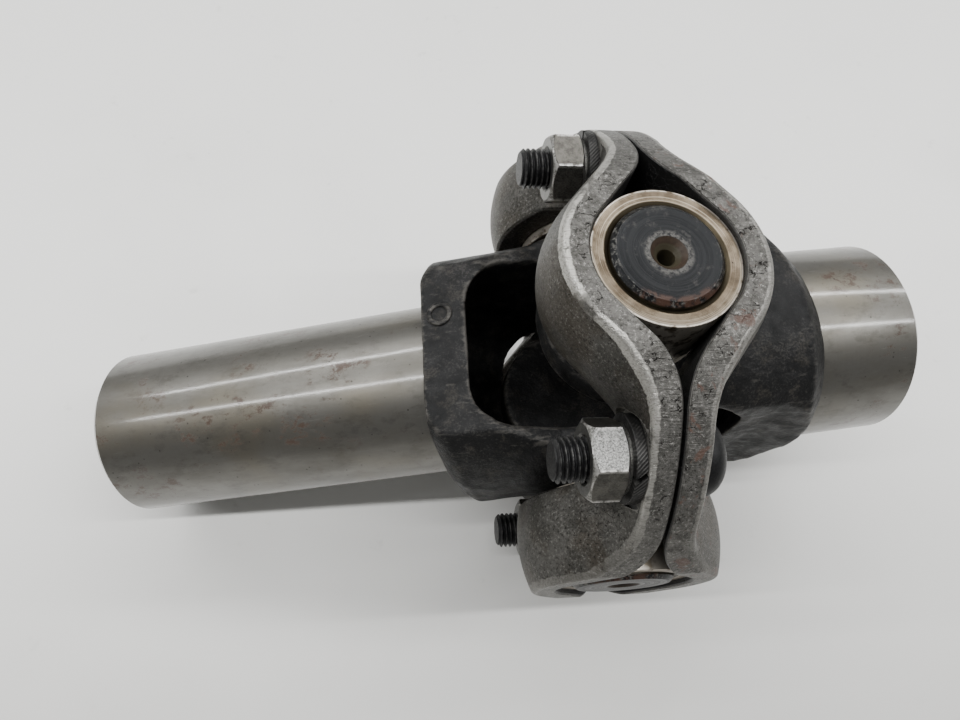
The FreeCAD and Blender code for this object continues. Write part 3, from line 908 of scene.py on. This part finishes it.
def add_fasteners():
    """Adds a bolt, a nut and a spring washer at each of the four places."""
    for number, turn in enumerate(BOLT_TURNS, 1):
        y, z = polar(BOLT_CIRCLE_R, turn)
        split_at = WASHER_SPLIT_AT + WASHER_TURN_BETWEEN * (number - 2)
        pose = RING_POSE @ Matrix.Translation((0.0, y * MM, z * MM))
        meshes = {
            "bolt": (bolt_mesh("bolt"), "bolt_steel", BLACK_BOLT),
            "nut": (nut_mesh("nut", number), "nut_steel", NUT),
            "spring_washer": (washer_mesh("washer", split_at), "washer_steel", WASHER),
        }
        for kind, (mesh, slot, material) in meshes.items():
            node = kind + "_" + str(number)
            make_piece("steel_" + node, mesh, pose, "ring", node, material)


add_fasteners()


# ---- floor, light and camera -------------------------------------------------------------------

FLOOR_Z, FLOOR_REACH = -48.87, 3000.0
WORLD_COLOUR, WORLD_STRENGTH = (1.0, 1.0, 0.99, 1.0), 0.26
LAMPS = {                    # place and size in metres, power in watts
    "lamp_behind": ((0.0, 0.78, 1.0), (3.2, 0.045), 28.0),
    "lamp_above": ((0.0, -0.08, 1.1), (3.4, 0.045), 26.0),
}
CAMERA_PLACE, CAMERA_AIM, CAMERA_ROLL = (-37.889, -63.286, 152.212), (-25.034, 2.422, 0.0), 7.815
CAMERA_LENS, CAMERA_SENSOR_WIDTH = 28.162, 36.0


def floor_material():
    """A pale sheen with faint spots, and a painted shadow that darkens it towards the front."""
    s = Surface("floor")
    cloud = s.step(s.noise(90.0, 5.0, 0.6), 0.35, 0.7)
    spots = s.times(s.step(s.noise(6.0, 4.0, 0.6), 0.62, 0.75), s.step(s.noise(45.0), 0.5, 0.6))
    colour = s.mix(cloud, (0.86, 0.86, 0.835), (0.83, 0.83, 0.805))
    # Painted shadow: darker towards the front, -Y.
    colour = s.mix(s.step(s.axis(1), 30.0, -130.0), colour, (0.50, 0.495, 0.475))
    colour = s.mix(s.times(spots, 0.25), colour, (0.45, 0.44, 0.42))
    return s.finish(Base_Color=colour, Roughness=s.step(cloud, 0, 1, 0.42, 0.55),
                    Normal=s.bump(s.noise(1.5, 4.0), 0.01))


def add_floor():
    corners = ((-1, -1), (1, -1), (1, 1), (-1, 1))
    points = [(x * FLOOR_REACH, y * FLOOR_REACH, FLOOR_Z) for x, y in corners]
    mesh = make_mesh("floor", points, [(0, 1, 2, 3)])
    mesh.materials.append(floor_material())
    floor = bpy.data.objects.new("floor", mesh)
    bpy.context.scene.collection.objects.link(floor)


def add_lamp(name, place, size, power):
    """Adds a rectangular lamp that faces the centre of the joint."""
    light = bpy.data.lights.new(name, "AREA")
    light.shape = "RECTANGLE"
    light.size, light.size_y = size
    light.energy = power
    lamp = bpy.data.objects.new(name, light)
    bpy.context.scene.collection.objects.link(lamp)
    lamp.location = place
    lamp.rotation_mode = "QUATERNION"
    lamp.rotation_quaternion = (Vector((0, 0, 0)) - Vector(place)).to_track_quat("-Z", "Y")


def add_lights():
    """An even pale room with two long ceiling lamps that run along X."""
    world = bpy.data.worlds.new("studio")
    world.use_nodes = True
    sky = world.node_tree.nodes["Background"]
    sky.inputs["Color"].default_value = WORLD_COLOUR
    sky.inputs["Strength"].default_value = WORLD_STRENGTH
    bpy.context.scene.world = world
    for name, (place, size, power) in LAMPS.items():
        add_lamp(name, place, size, power)


def add_camera():
    data = bpy.data.cameras.new("camera")
    data.lens = CAMERA_LENS
    data.sensor_width = CAMERA_SENSOR_WIDTH
    data.clip_start = 0.005
    camera = bpy.data.objects.new("camera", data)
    bpy.context.scene.collection.objects.link(camera)
    place = Vector(CAMERA_PLACE) * MM
    aim = Vector(CAMERA_AIM) * MM
    facing = (aim - place).to_track_quat("-Z", "Y").to_matrix().to_4x4()
    camera.matrix_world = Matrix.Translation(place) @ facing @ spin("Z", CAMERA_ROLL)
    bpy.context.scene.camera = camera


add_floor()
add_lights()
add_camera()
